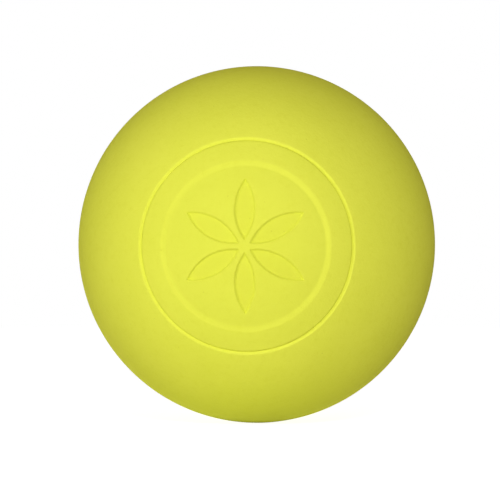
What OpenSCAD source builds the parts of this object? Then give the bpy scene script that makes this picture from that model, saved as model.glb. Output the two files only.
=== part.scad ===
// Lacrosse ball of moulded rubber: a solid core inside two half covers that meet at the parting plane.
// The origin is the ball's centre, +Z is up, and the front pole, with the moulded rosette, faces -Y.

/* [Ball] */
// Outside diameter of the ball
ball_d = 63.5; // [60:0.5:68]
// Thickness of the rubber cover around the core
cover_t = 5; // [3:0.5:12]
// Room for the bonding layer between the core and the covers
bond_gap = 0.05; // [0.02:0.01:0.3]

/* [Parting line] */
// Width of the fine V-shaped line where the two covers meet
seam_w = 0.4; // [0.2:0.1:1.5]
// Depth of that line
seam_depth = 0.08; // [0.04:0.01:0.4]

/* [Moulded ring] */
// Depth of the round pad inside the ring, below the ball's surface
pad_depth = 0.16; // [0.06:0.02:0.24]
// Diameter of the ring engraved at the pad's edge, along the middle of its groove
ring_d = 36.6; // [34:0.2:44]
// Width of the groove at the ball's surface
ring_w = 0.9; // [0.8:0.1:2]
// Depth of the groove below the pad
ring_depth = 0.2; // [0.04:0.02:0.4]

/* [Recessed disc] */
// Diameter of the recessed disc, halfway up its slanting wall
disc_d = 28.6; // [26:0.2:31]
// Width of the slanting wall
disc_wall_w = 1.1; // [0.4:0.1:2]
// Depth of the disc's floor below the pad
disc_depth = 0.36; // [0.1:0.02:0.5]

/* [Rosette] */
// Number of petals in the rosette
petal_count = 6; // [4:1:8]
// Distance from the pole to a petal's outer tip
petal_tip_r = 11.4; // [9:0.2:12]
// Distance from the pole to a petal's inner tip
petal_root_r = 1.2; // [0.6:0.1:3]
// Width of a petal at its middle
petal_w = 3.4; // [2:0.1:4]
// Depth of a petal's floor below the disc's floor
petal_depth = 0.4; // [0.1:0.05:0.8]

/* [Hidden] */
$fn = 120;

// Overrun of every cut past the surface that it opens
overrun = 1;

ball_r = ball_d / 2;
cover_inner_r = ball_r - cover_t;
core_r = cover_inner_r - bond_gap;

// Radii, from the ball's centre, of the pad, the groove's bottom, the disc's floor and a petal's floor
pad_r = ball_r - pad_depth;
groove_floor_r = pad_r - ring_depth;
disc_floor_r = pad_r - disc_depth;
petal_floor_r = disc_floor_r - petal_depth;

// Direction of the groove's middle from the pole, as seen from the ball's centre
ring_tilt = asin(ring_d / ball_d);
groove_depth = ball_r - groove_floor_r;
// Radius of the round cutter that leaves a groove of that depth and the given width
ring_cutter_r = (ring_w * ring_w / 4 + groove_depth * groove_depth) / groove_depth / 2;

disc_r = disc_d / 2;

petal_l = petal_tip_r - petal_root_r;
// Radius of the two arcs that bound a petal
petal_arc_r = (petal_l * petal_l + petal_w * petal_w) / petal_w / 4;
// A petal's cutter starts below its floor, level with the petal floor's edge at the disc's wall
petal_base_z = sqrt(petal_floor_r * petal_floor_r - disc_r * disc_r);

// Point at a distance from the axis, on a sphere about the ball's centre
function on_sphere(distance, radius) = [distance, sqrt(radius * radius - distance * distance)];

// Half section of a cover about its pole, which lies along +Y of the section
module cover_section() {
    difference() {
        intersection() {
            circle(r = ball_r);
            square(ball_r);
        }
        circle(r = cover_inner_r);
        seam_cut();
    }
}

// One side of the V-shaped parting line, continued past the ball's surface
module seam_cut() {
    polygon([
        [ball_r - seam_depth, 0],
        [ball_r + seam_depth, seam_w],
        [ball_r + seam_depth, 0]
    ]);
}

// Round bottom of the engraved ring
module ring_cut() {
    rotate([0, 0, -ring_tilt])
        translate([0, groove_floor_r + ring_cutter_r])
            circle(r = ring_cutter_r);
}

// Everything above the pad, out to the middle of the groove
module pad_cut() {
    reach = 2 * ball_r;
    difference() {
        polygon([
            [0, 0],
            [reach * sin(ring_tilt), reach * cos(ring_tilt)],
            [0, reach]
        ]);
        circle(r = pad_r);
    }
}

// Everything above the disc's floor, out to its slanting wall
module disc_cut() {
    foot = on_sphere(disc_r - disc_wall_w / 2, disc_floor_r);
    rim = on_sphere(disc_r + disc_wall_w / 2, pad_r);
    below_foot = 2 * foot - rim;
    above_rim = 2 * rim - foot;
    difference() {
        polygon([
            [0, 0],
            below_foot,
            above_rim,
            [above_rim[0], ball_r + overrun],
            [0, ball_r + overrun]
        ]);
        circle(r = disc_floor_r);
    }
}

// Outline of one petal, pointing along +Y: where two equal arcs overlap
module petal_outline() {
    middle_r = (petal_root_r + petal_tip_r) / 2;
    offset_x = petal_arc_r - petal_w / 2;
    intersection() {
        translate([offset_x, middle_r]) circle(r = petal_arc_r);
        translate([-offset_x, middle_r]) circle(r = petal_arc_r);
    }
}

// Cutter for one petal, with a floor that follows the ball
module petal_cut() {
    difference() {
        translate([0, 0, petal_base_z])
            linear_extrude(height = ball_r) petal_outline();
        sphere(r = petal_floor_r);
    }
}

module core() {
    color("dimgray") sphere(r = core_r);
}

module front_cover() {
    color("#e5e84e")
        rotate([90, 0, 0])
            difference() {
                rotate_extrude()
                    difference() {
                        cover_section();
                        pad_cut();
                        ring_cut();
                        disc_cut();
                    }
                for (i = [0 : petal_count - 1])
                    rotate([0, 0, i * 360 / petal_count]) petal_cut();
            }
}

module rear_cover() {
    color("#e5e84e")
        rotate([-90, 0, 0])
            rotate_extrude() cover_section();
}

core();
front_cover();
rear_cover();
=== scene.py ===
"""A lacrosse ball of moulded yellow-green rubber, resting on a pale floor.

All lengths are in metres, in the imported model's frame: the origin is the ball's centre, +Z is up,
and the front pole, with its moulded ring, disc and rosette, faces -Y. The two half covers are
modelled here as closed shells with rounded edges, and the core as a ball with a buffed surface, in
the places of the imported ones.
"""

import math

import bmesh
import bpy
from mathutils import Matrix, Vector, noise
from mathutils.geometry import delaunay_2d_cdt


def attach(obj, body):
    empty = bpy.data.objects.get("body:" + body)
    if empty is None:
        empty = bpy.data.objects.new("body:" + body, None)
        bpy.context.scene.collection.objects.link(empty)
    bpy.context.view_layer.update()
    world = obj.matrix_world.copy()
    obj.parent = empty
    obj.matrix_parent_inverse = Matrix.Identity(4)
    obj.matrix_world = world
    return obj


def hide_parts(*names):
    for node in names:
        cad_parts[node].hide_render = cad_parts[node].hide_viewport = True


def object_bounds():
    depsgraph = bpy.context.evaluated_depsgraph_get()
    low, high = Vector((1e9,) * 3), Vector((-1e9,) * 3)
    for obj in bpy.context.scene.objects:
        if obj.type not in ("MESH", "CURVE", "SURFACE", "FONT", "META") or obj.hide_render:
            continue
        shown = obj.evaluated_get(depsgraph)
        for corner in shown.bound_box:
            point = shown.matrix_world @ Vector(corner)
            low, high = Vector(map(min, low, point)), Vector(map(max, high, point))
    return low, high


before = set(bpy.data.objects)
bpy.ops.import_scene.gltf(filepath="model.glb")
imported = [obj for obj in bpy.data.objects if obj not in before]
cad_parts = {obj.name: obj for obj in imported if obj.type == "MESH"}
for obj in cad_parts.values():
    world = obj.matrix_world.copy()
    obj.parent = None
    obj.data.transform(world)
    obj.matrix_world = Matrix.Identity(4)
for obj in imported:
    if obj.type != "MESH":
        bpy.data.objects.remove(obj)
cad_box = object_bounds()

MM = 0.001

# Sizes of the ball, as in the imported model
BALL_R = 31.75 * MM
COVER_T = 5 * MM
BOND_GAP = 0.05 * MM
COVER_INNER_R = BALL_R - COVER_T
CORE_R = COVER_INNER_R - BOND_GAP
SEAM_HALF_W = 0.2 * MM
SEAM_DEPTH = 0.08 * MM
RING_R = 18.3 * MM
RING_INNER_W = 0.4 * MM
RING_OUTER_W = 0.45 * MM
RING_DEPTH = 0.36 * MM
PAD_DEPTH = 0.16 * MM
DISC_R = 14.3 * MM
DISC_WALL_HALF_W = 0.55 * MM
DISC_DEPTH = 0.36 * MM
PETAL_COUNT = 6
PETAL_TIP_R = 11.4 * MM
PETAL_ROOT_R = 1.2 * MM
PETAL_W = 3.4 * MM
PETAL_DEPTH = 0.4 * MM

# Rounding and finish that the moulded surface has on top of those sizes
PETAL_WALL_HALF_W = 0.22 * MM
WAVE_LENGTH = 2.6 * MM
WAVE_DEPTH = 0.012 * MM
# The parting line's depth swings along it: its mean and its swing are shares of SEAM_DEPTH
SEAM_MEAN_SHARE = 0.8
SEAM_SWING_SHARE = 0.4
SEAM_SWING_LENGTH = 4 * MM
# The band beside the parting line where the flash was buffed off, and its fully buffed middle
BUFFED_HALF_W = 2.2 * MM
BUFFED_FULL_HALF_W = 0.3 * BUFFED_HALF_W
BUFFED_DEPTH = 0.015 * MM
CORE_BUFFING_LENGTH = 2.2 * MM
CORE_BUFFING_DEPTH = 0.08 * MM
# How fast the layers of the core's buffing fade, how much finer each one is, and how many there are
CORE_BUFFING_LAYERS = (1.0, 2.0, 3)
CORE_FLASH_HALF_W = 1.2 * MM
CORE_FLASH_DEPTH = 0.1 * MM

# Fineness of the meshes
ROUND_COUNT = 360
PLAIN_STEP = 0.5 * MM
EDGE_STEP = 0.07 * MM
# How far the edge steps reach from the seam, past the disc's wall and from the ring's middle
SEAM_FINE_W = 3 * SEAM_HALF_W
DISC_FINE_MARGIN = 2 * EDGE_STEP
RING_FINE_INNER_W = 1.2 * RING_INNER_W
RING_FINE_OUTER_W = 1.2 * RING_OUTER_W
CAP_R = 12.9 * MM
# The cap's triangles are worked out in millimetres, where points this close together are one
CAP_SAME_POINT_MM = 1e-6
# The triangles fill the whole cap, which delaunay_2d_cdt calls its output of type 0
CAP_OUTPUT_TYPE = 0
PETAL_POINT_STEP = 0.16 * MM
PETAL_SIDE_LEAST_STEPS = 8
PETAL_TIP_LEAST_STEPS = 2
# Loops of points along a petal's wall: how far outside its outline, as shares of PETAL_WALL_HALF_W
PETAL_LINE_SHARES = (-1.2, -1, -0.75, -0.5, -0.25, 0, 0.25, 0.5, 0.75, 1, 1.2)
INNER_ROW_COUNT = 40
CORE_SUBDIVISIONS = 7
SHARP_ANGLE = math.radians(50)

# Patterns in the cover's rubber: how many to the millimetre, how detailed and how rough
CLOUDS = (0.09, 3.0, 0.5)
MOTTLE = (0.9, 3.0, 0.6)
GRAIN = (4.0, 2.0, 0.6)
PEEL = (1.1, 2.0, 0.5)
SCRATCHES = (0.35, 2.0, 0.5)
# Scratches run along the parting line, so they are much finer across it
SCRATCH_STRETCH = (1.0, 18.0, 1.0)
SPECKS_PER_MM = 0.35
# A speck fades out between these distances from its middle, as shares of the specks' spacing
SPECK_EDGE_SHARES = (0.03, 0.05)
# Most of a pattern's values are in this range
USUAL_RANGE = (0.3, 0.7)

# Colours of the cover's rubber: two that blend in clouds, then those that lie over them, with the
# pattern's values between which each comes in, where it has a pattern, and the most of it that shows
COVER_COLOUR = (0.775, 0.83, 0.076)
CLOUD_COLOUR = (0.80, 0.85, 0.084)
CLOUD_RANGE = (0.35, 0.65)
MOTTLE_COLOUR = (0.73, 0.775, 0.062)
MOTTLE_RANGE = (0.5, 0.75)
MOTTLE_SHARE = 0.5
GRAIN_COLOUR = (0.84, 0.88, 0.105)
GRAIN_RANGE = (0.35, 0.75)
GRAIN_SHARE = 0.4
# Partly the mould's insert's own tone and partly painted shade: it darkens the pad and disc, where
# the key lamp lights the front fullest
INSERT_TONE_AND_SHADE_COLOUR = (0.67, 0.72, 0.066)
INSERT_TONE_AND_SHADE_SHARE = 0.3
# Painted shade in the ring's groove and on the petals' sunken floors
RECESS_SHADE_COLOUR = (0.71, 0.745, 0.05)
RECESS_SHADE_SHARE = 0.22
BUFFED_COLOUR = (0.83, 0.87, 0.12)
BUFFED_SHARE = 0.35
SPECK_COLOUR = (0.55, 0.55, 0.05)
SPECK_SHARE = 0.3

# Finish of the cover's rubber: the mottle makes it more or less rough, and buffing adds to that
COVER_SPECULAR = 0.03
COVER_ROUGHNESS = (0.72, 0.82)
BUFFED_ROUGHNESS = 0.08
GRAIN_HEIGHT = 0.02 * MM
PEEL_HEIGHT = 0.035 * MM
SCRATCH_HEIGHT = 0.02 * MM
SPECK_DEPTH = 0.02 * MM

# The core's rubber, a grainy pattern with pale crumbs of filler in it
CORE_GRAIN = (2.5, 3.0, 0.6)
CORE_DARK_COLOUR = (0.06, 0.06, 0.055)
CORE_LIGHT_COLOUR = (0.12, 0.12, 0.11)
CORE_SPECULAR = 0.25
CORE_ROUGHNESS = (0.8, 0.95)
CORE_GRAIN_HEIGHT = 0.08 * MM
CRUMBS_PER_MM = 0.6
CRUMB_EDGE_SHARES = (0.12, 0.2)
CRUMB_COLOUR = (0.28, 0.27, 0.24)
CRUMB_SHARE = 0.5
CRUMB_HEIGHT = 0.04 * MM

# The photograph's frame, in pixels, and the ball in it
PHOTO_SIDE = 500
BALL_PX = Vector((256.74, 244.47))
BALL_R_PX = 178.4
# Where the camera stands, as seen from the ball's centre
CAMERA_DISTANCE = 20 * BALL_R
CAMERA_AZIMUTH = math.radians(3.86)
CAMERA_ELEVATION = math.radians(0.60)
# The camera shows nothing that is closer than this
CAMERA_CLIP_START = 50 * MM

WHITE = (1, 1, 1)
# Light from the surroundings, at the horizon and straight overhead
HORIZON_LIGHT = (0.14, 0.135, 0.10)
OVERHEAD_LIGHT = (0.26, 0.19, 0.12)
# Soft lamps around the ball: where each one stands, as seen from the ball's centre, and its power
LAMP_DISTANCE = 0.4
LAMP_SIDE = 0.08
KEY_AZIMUTH = math.radians(8)
KEY_ELEVATION = math.radians(17.5)
KEY_POWER = 0.805
SIDE_AZIMUTH = math.radians(-50)
SIDE_ELEVATION = math.radians(2)
SIDE_POWER = 0.33
BACK_AZIMUTH = CAMERA_AZIMUTH + math.pi
BACK_ELEVATION = 0.0
BACK_POWER = 9.0
# The back lamp stands off the floor's edge, so that it leaves no bright pool on the floor
BACK_DISTANCE = 1.2

FLOOR_R = 0.5
FLOOR_SIDES = 96
# The floor's pattern, given as the cover's are, and the two colours that it blends
FLOOR_TONES = (0.04, 3.0, 0.5)
FLOOR_DARK_COLOUR = (0.80, 0.80, 0.80)
FLOOR_LIGHT_COLOUR = (0.83, 0.83, 0.83)
# The floor's own glow, as seen directly and as it lights the ball
FLOOR_SEEN_GLOW = (0.85, 0.855, 0.885)
FLOOR_GLOW = (0.112, 0.1, 0.1)


def around(count):
    """Angles at equal steps around a circle."""
    return [2 * math.pi * i / count for i in range(count)]


def smooth(share):
    """0 below 0, 1 above 1, and a smooth rise between."""
    t = min(max(share, 0.0), 1.0)
    return t * t * (3 - 2 * t)


def as_share(value):
    """A value between -1 and 1 becomes one between 0 and 1."""
    return 0.5 + 0.5 * value


# Shape of the moulded surface, where an arc is how far a point is from the pole along the surface

def arc_of(distance):
    """Length along the ball's surface from the pole to a distance from the axis."""
    return BALL_R * math.asin(distance / BALL_R)


RING_ARC = arc_of(RING_R)
DISC_FOOT_ARC = arc_of(DISC_R - DISC_WALL_HALF_W)
DISC_RIM_ARC = arc_of(DISC_R + DISC_WALL_HALF_W)
EQUATOR_ARC = BALL_R * math.pi / 2


def ring_depth(arc):
    """The engraved ring, and the pad inside it that lies a little below the ball's surface."""
    if arc > RING_ARC:
        return RING_DEPTH * (1 - smooth((arc - RING_ARC) / RING_OUTER_W))
    return PAD_DEPTH + (RING_DEPTH - PAD_DEPTH) * (1 - smooth((RING_ARC - arc) / RING_INNER_W))


def disc_share(arc):
    """1 on the disc's floor and 0 outside the disc, with a wall rounded at its foot and rim."""
    return 1 - smooth((arc - DISC_FOOT_ARC) / (DISC_RIM_ARC - DISC_FOOT_ARC))


def insert_share(arc):
    """How far the darker front tone reaches: half on the pad and all of it on the disc, where the
    mould's insert sets the finish; the tone is partly that finish and partly painted shade on the
    brightly lit front.
    """
    inside_ring = smooth((RING_ARC - arc) / RING_INNER_W)
    return (inside_ring + disc_share(arc)) / 2


def seam_depth(arc, place):
    """The parting line: a fine V where the halves meet, in a band where the flash was buffed off."""
    off = EQUATOR_ARC - arc
    swing = noise.noise(Vector((place.x, 0, place.z)) / SEAM_SWING_LENGTH)
    uneven = SEAM_MEAN_SHARE + SEAM_SWING_SHARE * swing
    line = SEAM_DEPTH * uneven * (1 - smooth(off / SEAM_HALF_W))
    return line + BUFFED_DEPTH * (1 - smooth(off / BUFFED_HALF_W))


def wave_depth(place):
    """The faint unevenness that the mould leaves."""
    return WAVE_DEPTH * as_share(noise.noise(place / WAVE_LENGTH))


def moulded(arc, place, rosette):
    """The depth below the ball's surface, petals apart, and the shares of recess and insert there."""
    depth = wave_depth(place) + seam_depth(arc, place)
    if not rosette:
        return depth, 0.0, 0.0
    ring = ring_depth(arc)
    # The recess share marks where the material paints shade: the bottom of the ring's groove
    recess = max(0.0, ring - PAD_DEPTH) / (RING_DEPTH - PAD_DEPTH)
    return depth + ring + DISC_DEPTH * disc_share(arc), recess, insert_share(arc)


# Shape of the petals, in a flat view of the pole

PETAL_HALF_L = (PETAL_TIP_R - PETAL_ROOT_R) / 2
PETAL_MIDDLE_R = (PETAL_TIP_R + PETAL_ROOT_R) / 2
PETAL_ARC_R = (PETAL_HALF_L ** 2 + (PETAL_W / 2) ** 2) / PETAL_W
PETAL_ARC_OFFSET = PETAL_ARC_R - PETAL_W / 2


def turned(u, v, turn):
    """A point of a petal that points up, turned with its petal."""
    return u * math.cos(turn) - v * math.sin(turn), u * math.sin(turn) + v * math.cos(turn)


def petal_distance(u, v):
    """Distance from the nearest petal's outline, negative inside it."""
    nearest = math.inf
    for turn in around(PETAL_COUNT):
        x, y = turned(u, v, -turn)
        x, y = abs(x), abs(y - PETAL_MIDDLE_R)
        if (y - PETAL_HALF_L) * PETAL_ARC_OFFSET > x * PETAL_HALF_L:
            away = math.hypot(x, y - PETAL_HALF_L)
        else:
            away = math.hypot(x + PETAL_ARC_OFFSET, y) - PETAL_ARC_R
        nearest = min(nearest, away)
    return nearest


def petal_share(u, v):
    """1 on a petal's floor and 0 outside the petals, with a wall rounded at its foot and rim."""
    return 1 - smooth(0.5 + petal_distance(u, v) / (2 * PETAL_WALL_HALF_W))


def petal_loop(offset, turn):
    """Points around one petal at a distance outside its outline, or inside where it is negative."""
    radius = PETAL_ARC_R + offset
    if offset < 0:
        half_angle = math.acos(PETAL_ARC_OFFSET / radius)
    else:
        half_angle = math.atan2(PETAL_HALF_L, PETAL_ARC_OFFSET)
    side_steps = max(PETAL_SIDE_LEAST_STEPS, round(2 * half_angle * radius / PETAL_POINT_STEP))
    side = [-half_angle + 2 * half_angle * i / side_steps for i in range(side_steps + 1)]
    right = [(radius * math.cos(a) - PETAL_ARC_OFFSET, radius * math.sin(a)) for a in side]
    tip = []
    if offset > 0:
        first, last = half_angle, math.pi - half_angle
        tip_steps = round((last - first) * offset / PETAL_POINT_STEP) + 1
        tip_steps = max(PETAL_TIP_LEAST_STEPS, tip_steps)
        angles = [first + (last - first) * i / tip_steps for i in range(1, tip_steps)]
        tip = [(offset * math.cos(a), PETAL_HALF_L + offset * math.sin(a)) for a in angles]
    # Where there is no tip, each side starts on the point at which the other one ends
    half = right[(0 if offset > 0 else 1):] + tip
    loop = half + [(-x, -y) for x, y in half]
    return [turned(x, y + PETAL_MIDDLE_R, turn) for x, y in loop]


# Meshes of the covers, built with the pole up and then turned to their sides of the ball

def to_front(point):
    """From a cover's own axes to the ball's, for the cover whose pole faces -Y."""
    return Vector((point.x, -point.z, point.y))


def to_rear(point):
    """From a cover's own axes to the ball's, for the cover whose pole faces +Y."""
    return Vector((-point.x, point.z, point.y))


def polar(radius, angle, turn):
    """A point at a radius from the ball's centre, an angle from the pole and a turn around it."""
    return Vector((
        radius * math.sin(angle) * math.cos(turn),
        radius * math.sin(angle) * math.sin(turn),
        radius * math.cos(angle),
    ))


def row_arcs(rosette):
    """The arc of each row of points around a cover, from its cap to its rim."""
    fine = [(EQUATOR_ARC - SEAM_FINE_W, EQUATOR_ARC)]
    if rosette:
        fine.append((DISC_FOOT_ARC - DISC_FINE_MARGIN, DISC_RIM_ARC + DISC_FINE_MARGIN))
        fine.append((RING_ARC - RING_FINE_INNER_W, RING_ARC + RING_FINE_OUTER_W))
    arcs = []
    at = arc_of(CAP_R)
    for start, end in sorted(fine):
        for to, step in ((start, PLAIN_STEP), (end, EDGE_STEP)):
            count = max(1, round((to - at) / step))
            arcs += [at + (to - at) * i / count for i in range(count)]
            at = to
    return arcs[1:] + [EQUATOR_ARC]


def cap_points(rosette):
    """Flat points of the cap around the pole, and the edges that its triangles keep to."""
    loops = [[(CAP_R * math.cos(a), CAP_R * math.sin(a)) for a in around(ROUND_COUNT)]]
    if rosette:
        for turn in around(PETAL_COUNT):
            loops += [petal_loop(share * PETAL_WALL_HALF_W, turn) for share in PETAL_LINE_SHARES]
    points = []
    edges = []
    for loop in loops:
        first = len(points)
        points += loop
        edges += [(first + i, first + (i + 1) % len(loop)) for i in range(len(loop))]

    clear = PETAL_WALL_HALF_W * PETAL_LINE_SHARES[-1] + PLAIN_STEP / 2
    row_step = PLAIN_STEP * math.sqrt(3) / 2
    rows = int(CAP_R / row_step) + 1
    for row in range(-rows, rows + 1):
        v = row * row_step
        shift = PLAIN_STEP / 2 if row % 2 else 0.0
        for column in range(-rows, rows + 1):
            u = column * PLAIN_STEP + shift
            if math.hypot(u, v) > CAP_R - PLAIN_STEP / 2:
                continue
            if rosette and abs(petal_distance(u, v)) < clear:
                continue
            points.append((u, v))
    return points, edges


class Shell:
    """A cover's mesh in the making, with the two shares at each point that its material reads."""

    def __init__(self):
        self.points = []
        self.faces = []
        self.recess = []
        self.insert = []
        self.open_edge = []

    def add(self, point, recess=0.0, insert=0.0):
        """Adds a point, and gives its number."""
        self.points.append(point)
        self.recess.append(recess)
        self.insert.append(insert)
        return len(self.points) - 1

    def join(self, row):
        """Adds faces from the open edge to a row of points, which is the open edge from then on."""
        for i in range(ROUND_COUNT):
            j = (i + 1) % ROUND_COUNT
            self.faces.append([self.open_edge[i], row[i], row[j], self.open_edge[j]])
        self.open_edge = row

    def close(self, last):
        """Adds faces from the open edge to one last point."""
        for i in range(ROUND_COUNT):
            self.faces.append([self.open_edge[i], last, self.open_edge[(i + 1) % ROUND_COUNT]])

    def mesh(self, name, to_side):
        """The finished mesh, turned to its side of the ball."""
        mesh = bpy.data.meshes.new(name)
        mesh.from_pydata([to_side(point) for point in self.points], [], self.faces)
        for title, values in (("recess", self.recess), ("insert", self.insert)):
            attribute = mesh.attributes.new(title, "FLOAT", "POINT")
            attribute.data.foreach_set("value", values)
        return mesh


def add_cap(shell, to_side, rosette):
    """The outside around the pole, in triangles that keep to the petals' outlines."""
    flat_points, flat_edges = cap_points(rosette)
    flat_mm = [Vector(point) / MM for point in flat_points]
    cap = delaunay_2d_cdt(flat_mm, flat_edges, [], CAP_OUTPUT_TYPE, CAP_SAME_POINT_MM)
    corners, _, triangles = cap[:3]
    for corner in corners:
        u, v = corner.x * MM, corner.y * MM
        away = math.hypot(u, v)
        on_surface = to_side(Vector((u, v, math.sqrt(BALL_R ** 2 - away ** 2))))
        depth, recess, insert = moulded(arc_of(away), on_surface, rosette)
        if rosette:
            # The petals' floors get the recess share, which the material paints with shade
            recess = petal_share(u, v)
            depth += PETAL_DEPTH * recess
        radius = BALL_R - depth
        shell.add(Vector((u, v, math.sqrt(radius ** 2 - away ** 2))), recess, insert)
    shell.faces += [list(triangle) for triangle in triangles]
    shell.open_edge = list(range(ROUND_COUNT))


def add_outside(shell, to_side, rosette):
    """The outside from the cap to the parting plane."""
    for arc in row_arcs(rosette):
        angle = arc / BALL_R
        row = []
        for turn in around(ROUND_COUNT):
            on_surface = to_side(polar(BALL_R, angle, turn))
            depth, recess, insert = moulded(arc, on_surface, rosette)
            row.append(shell.add(polar(BALL_R - depth, angle, turn), recess, insert))
        shell.join(row)


def add_inside(shell):
    """The flat rim and the round inside."""
    for i in range(INNER_ROW_COUNT):
        angle = math.pi / 2 * (1 - i / INNER_ROW_COUNT)
        shell.join([shell.add(polar(COVER_INNER_R, angle, turn)) for turn in around(ROUND_COUNT)])
    shell.close(shell.add(Vector((0.0, 0.0, COVER_INNER_R))))


def cover_piece(name, to_side, rosette):
    """A closed half shell: moulded outside, flat rim at the parting plane, and round inside."""
    shell = Shell()
    add_cap(shell, to_side, rosette)
    add_outside(shell, to_side, rosette)
    add_inside(shell)
    return finished_piece(name, shell.mesh(name, to_side))


def core_piece(name):
    """The core: a ball buffed for bonding, with the line where its own mould closed ground away."""
    ball = bmesh.new()
    bmesh.ops.create_icosphere(ball, subdivisions=CORE_SUBDIVISIONS, radius=CORE_R)
    for point in ball.verts:
        place = point.co.copy()
        buffing = as_share(noise.fractal(place / CORE_BUFFING_LENGTH, *CORE_BUFFING_LAYERS))
        ground = 1 - smooth(abs(place.z) / CORE_FLASH_HALF_W)
        depth = CORE_BUFFING_DEPTH * min(max(buffing, 0.0), 1.0) + CORE_FLASH_DEPTH * ground
        point.co = place * (1 - depth / CORE_R)
    mesh = bpy.data.meshes.new(name)
    ball.to_mesh(mesh)
    ball.free()
    return finished_piece(name, mesh)


def finished_piece(name, mesh):
    """A shaded object in the scene, smooth but for the corners of its mesh."""
    mesh.shade_smooth()
    mesh.set_sharp_from_angle(angle=SHARP_ANGLE)
    piece = bpy.data.objects.new(name, mesh)
    bpy.context.scene.collection.objects.link(piece)
    return piece


# Materials

class Nodes:
    """A short way to write a material's or the world's nodes."""

    def __init__(self, tree):
        self.tree = tree
        tree.nodes.clear()

    def add(self, kind, inputs=None, **settings):
        """A node with its settings and its inputs, each a value or another node's output."""
        node = self.tree.nodes.new(kind)
        for key, value in settings.items():
            setattr(node, key, value)
        for key, value in (inputs or {}).items():
            if isinstance(value, bpy.types.NodeSocket):
                self.tree.links.new(value, node.inputs[key])
            else:
                node.inputs[key].default_value = value
        return node

    def math(self, operation, a, b=0.0):
        """What an operation makes of one value or two."""
        return self.add("ShaderNodeMath", {0: a, 1: b}, operation=operation).outputs[0]

    def total(self, parts):
        """The sum of some values, each times its own weight."""
        so_far = 0.0
        for value, weight in parts:
            so_far = self.math("ADD", so_far, self.math("MULTIPLY", value, weight))
        return so_far

    def spread(self, value, source, target):
        """A value between the two of the source becomes one between the two of the target."""
        return self.add("ShaderNodeMapRange", {
            "Value": value,
            "From Min": source[0],
            "From Max": source[1],
            "To Min": target[0],
            "To Max": target[1],
        }).outputs["Result"]

    def noise(self, place, per_mm, detail, roughness):
        """A cloudy pattern of values around a half."""
        return self.add("ShaderNodeTexNoise", {
            "Vector": place,
            "Scale": per_mm / MM,
            "Detail": detail,
            "Roughness": roughness,
        }).outputs["Fac"]

    def spots(self, place, per_mm, edge):
        """1 on scattered spots and 0 off them, with an edge that fades between two distances."""
        cells = self.add("ShaderNodeTexVoronoi", {"Vector": place, "Scale": per_mm / MM})
        return self.spread(cells.outputs["Distance"], edge, (1.0, 0.0))

    def mix(self, share, a, b):
        """The colour that is a share of the way from a to b."""
        a, b = (end if isinstance(end, bpy.types.NodeSocket) else (*end, 1) for end in (a, b))
        # This node's sockets go by number, because those of each data type have the same names
        return self.add("ShaderNodeMix", {0: share, 6: a, 7: b}, data_type="RGBA").outputs[2]

    def rubber(self, colour, roughness, specular, height):
        """The material's surface: rubber with a bump of a height in metres."""
        bump = self.add("ShaderNodeBump", {"Strength": 1.0, "Distance": 1.0, "Height": height})
        shader = self.add("ShaderNodeBsdfPrincipled", {
            "Base Color": colour,
            "Roughness": roughness,
            "Specular IOR Level": specular,
            "Normal": bump.outputs["Normal"],
        })
        self.add("ShaderNodeOutputMaterial", {"Surface": shader.outputs["BSDF"]})


def new_material(name):
    """A material, and its nodes, of which there are none yet."""
    material = bpy.data.materials.new(name)
    material.use_nodes = True
    return material, Nodes(material.node_tree)


def cover_rubber():
    """Matte rubber, coloured right through, with a fine moulded grain, a buffed parting line, and
    painted shade in its recesses and over its front pad and disc.
    """
    material, n = new_material("cover_rubber")
    place = n.add("ShaderNodeTexCoord").outputs["Object"]
    clouds = n.noise(place, *CLOUDS)
    mottle = n.noise(place, *MOTTLE)
    grain = n.noise(place, *GRAIN)
    peel = n.noise(place, *PEEL)
    scratch_place = n.add("ShaderNodeMapping", {"Vector": place, "Scale": SCRATCH_STRETCH})
    scratches = n.noise(scratch_place.outputs["Vector"], *SCRATCHES)
    speck = n.spots(place, SPECKS_PER_MM, SPECK_EDGE_SHARES)
    recess = n.add("ShaderNodeAttribute", attribute_name="recess").outputs["Fac"]
    insert = n.add("ShaderNodeAttribute", attribute_name="insert").outputs["Fac"]
    off_seam = n.math("ABSOLUTE", n.add("ShaderNodeSeparateXYZ", {"Vector": place}).outputs["Y"])
    buffed = n.spread(off_seam, (BUFFED_FULL_HALF_W, BUFFED_HALF_W), (1.0, 0.0))

    colour = n.mix(n.spread(clouds, CLOUD_RANGE, (0.0, 1.0)), COVER_COLOUR, CLOUD_COLOUR)
    tints = (
        (n.spread(mottle, MOTTLE_RANGE, (0.0, MOTTLE_SHARE)), MOTTLE_COLOUR),
        (n.spread(grain, GRAIN_RANGE, (0.0, GRAIN_SHARE)), GRAIN_COLOUR),
        # Partly the insert's own tone and partly painted shade, darker on the pad and disc where the
        # key lamp lights the front fullest
        (n.math("MULTIPLY", insert, INSERT_TONE_AND_SHADE_SHARE), INSERT_TONE_AND_SHADE_COLOUR),
        # Painted shade in the ring's groove and on the petals' floors
        (n.math("MULTIPLY", recess, RECESS_SHADE_SHARE), RECESS_SHADE_COLOUR),
        (n.math("MULTIPLY", buffed, BUFFED_SHARE), BUFFED_COLOUR),
        (n.math("MULTIPLY", speck, SPECK_SHARE), SPECK_COLOUR),
    )
    for share, tint in tints:
        colour = n.mix(share, colour, tint)

    roughness = n.spread(mottle, USUAL_RANGE, COVER_ROUGHNESS)
    roughness = n.math("ADD", roughness, n.math("MULTIPLY", buffed, BUFFED_ROUGHNESS))
    height = n.total((
        (grain, GRAIN_HEIGHT),
        (peel, PEEL_HEIGHT),
        (n.math("MULTIPLY", scratches, buffed), SCRATCH_HEIGHT),
        (speck, -SPECK_DEPTH),
    ))
    n.rubber(colour, roughness, COVER_SPECULAR, height)
    return material


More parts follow.
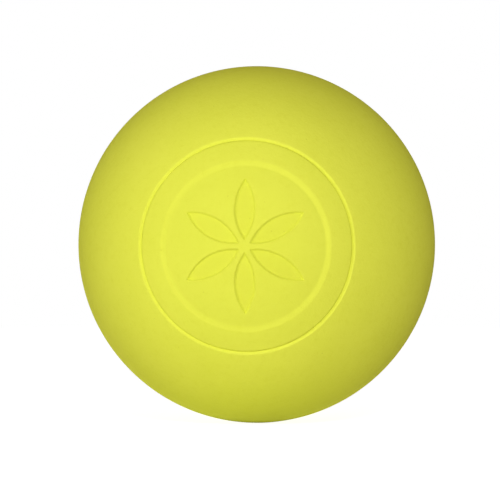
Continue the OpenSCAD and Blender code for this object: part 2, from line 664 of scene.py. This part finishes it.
def core_rubber():
    """Plain filled rubber compound, dark, with pale crumbs of filler and an abraded surface."""
    material, n = new_material("core_rubber")
    place = n.add("ShaderNodeTexCoord").outputs["Object"]
    grain = n.noise(place, *CORE_GRAIN)
    crumb = n.spots(place, CRUMBS_PER_MM, CRUMB_EDGE_SHARES)
    light_share = n.spread(grain, USUAL_RANGE, (0.0, 1.0))
    colour = n.mix(light_share, CORE_DARK_COLOUR, CORE_LIGHT_COLOUR)
    colour = n.mix(n.math("MULTIPLY", crumb, CRUMB_SHARE), colour, CRUMB_COLOUR)
    roughness = n.spread(grain, USUAL_RANGE, CORE_ROUGHNESS)
    height = n.total(((grain, CORE_GRAIN_HEIGHT), (crumb, CRUMB_HEIGHT)))
    n.rubber(colour, roughness, CORE_SPECULAR, height)
    return material


def seen_directly(n):
    """1 on the rays that show the background itself: camera, glossy and transmission rays."""
    path = n.add("ShaderNodeLightPath").outputs
    either = n.math("MAXIMUM", path["Is Camera Ray"], path["Is Glossy Ray"])
    return n.math("MAXIMUM", either, path["Is Transmission Ray"])


def floor_material():
    """A pale floor that looks white, keeps the ball's soft shadow, and glows like a light table."""
    material, n = new_material("pale_floor")
    place = n.add("ShaderNodeTexCoord").outputs["Object"]
    light_share = n.spread(n.noise(place, *FLOOR_TONES), USUAL_RANGE, (0.0, 1.0))
    colour = n.mix(light_share, FLOOR_DARK_COLOUR, FLOOR_LIGHT_COLOUR)
    matte = n.add("ShaderNodeBsdfDiffuse", {"Color": colour})
    glow_colour = n.mix(seen_directly(n), FLOOR_GLOW, FLOOR_SEEN_GLOW)
    glow = n.add("ShaderNodeEmission", {"Color": glow_colour, "Strength": 1.0})
    both = n.add("ShaderNodeAddShader", {0: matte.outputs[0], 1: glow.outputs[0]})
    n.add("ShaderNodeOutputMaterial", {"Surface": both.outputs[0]})
    return material


# The set

def build_floor():
    """A round pale floor that touches the ball's lowest point."""
    lowest = cad_box[0][2]
    points = [(FLOOR_R * math.cos(a), FLOOR_R * math.sin(a), lowest) for a in around(FLOOR_SIDES)]
    mesh = bpy.data.meshes.new("floor")
    mesh.from_pydata(points, [], [list(range(FLOOR_SIDES))])
    mesh.materials.append(floor_material())
    floor = bpy.data.objects.new("floor", mesh)
    bpy.context.scene.collection.objects.link(floor)


def build_world():
    """White where it is seen; otherwise a soft light that changes from the horizon to overhead."""
    world = bpy.data.worlds.new("studio")
    bpy.context.scene.world = world
    world.use_nodes = True
    n = Nodes(world.node_tree)
    way = n.add("ShaderNodeTexCoord").outputs["Generated"]
    rise = n.add("ShaderNodeSeparateXYZ", {"Vector": way}).outputs["Z"]
    light = n.mix(rise, HORIZON_LIGHT, OVERHEAD_LIGHT)
    colour = n.mix(seen_directly(n), light, WHITE)
    background = n.add("ShaderNodeBackground", {"Color": colour, "Strength": 1.0})
    n.add("ShaderNodeOutputWorld", {"Surface": background.outputs[0]})


def direction(azimuth, elevation):
    """The unit vector from the ball's centre that way: azimuth 0 is -Y, and a quarter turn is +X."""
    level = math.cos(elevation)
    return Vector((level * math.sin(azimuth), -level * math.cos(azimuth), math.sin(elevation)))


def build_lamp(name, distance, azimuth, elevation, power):
    """A soft square lamp that faces the ball."""
    light = bpy.data.lights.new(name, "AREA")
    light.shape = "SQUARE"
    light.size = LAMP_SIDE
    light.energy = power
    lamp = bpy.data.objects.new(name, light)
    lamp.location = distance * direction(azimuth, elevation)
    lamp.rotation_euler = (-lamp.location).to_track_quat("-Z", "Y").to_euler()
    lamp.visible_camera = False
    bpy.context.scene.collection.objects.link(lamp)


def build_camera():
    """The photograph's view: the ball's centre and width fall where the photograph has them."""
    away = direction(CAMERA_AZIMUTH, CAMERA_ELEVATION)
    right = Vector((math.cos(CAMERA_AZIMUTH), math.sin(CAMERA_AZIMUTH), 0))
    up = right.cross(-away)
    # A sphere's outline lies on the cone that touches it
    focal_px = BALL_R_PX * math.sqrt((CAMERA_DISTANCE / BALL_R) ** 2 - 1)
    off = (BALL_PX - Vector((PHOTO_SIDE / 2, PHOTO_SIDE / 2))) * CAMERA_DISTANCE / focal_px
    aim = -off.x * right + off.y * up
    data = bpy.data.cameras.new("camera")
    data.sensor_fit = "HORIZONTAL"
    data.lens = data.sensor_width * focal_px / PHOTO_SIDE
    data.clip_start = CAMERA_CLIP_START
    camera = bpy.data.objects.new("camera", data)
    camera.location = CAMERA_DISTANCE * away
    camera.rotation_euler = (aim - camera.location).to_track_quat("-Z", "Y").to_euler()
    bpy.context.scene.collection.objects.link(camera)
    bpy.context.scene.camera = camera


cover = cover_rubber()
for node, to_side, rosette in (("front_cover", to_front, True), ("rear_cover", to_rear, False)):
    piece = cover_piece(node + "_shell", to_side, rosette)
    piece.data.materials.append(cover)
    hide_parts(node)
    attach(piece, "root")

core = core_piece("core_ball")
core.data.materials.append(core_rubber())
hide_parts("core")
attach(core, "root")

build_floor()
build_world()
build_lamp("key", LAMP_DISTANCE, KEY_AZIMUTH, KEY_ELEVATION, KEY_POWER)
build_lamp("side", LAMP_DISTANCE, SIDE_AZIMUTH, SIDE_ELEVATION, SIDE_POWER)
build_lamp("back", BACK_DISTANCE, BACK_AZIMUTH, BACK_ELEVATION, BACK_POWER)
build_camera()
bpy.context.scene.view_settings.view_transform = "Standard"
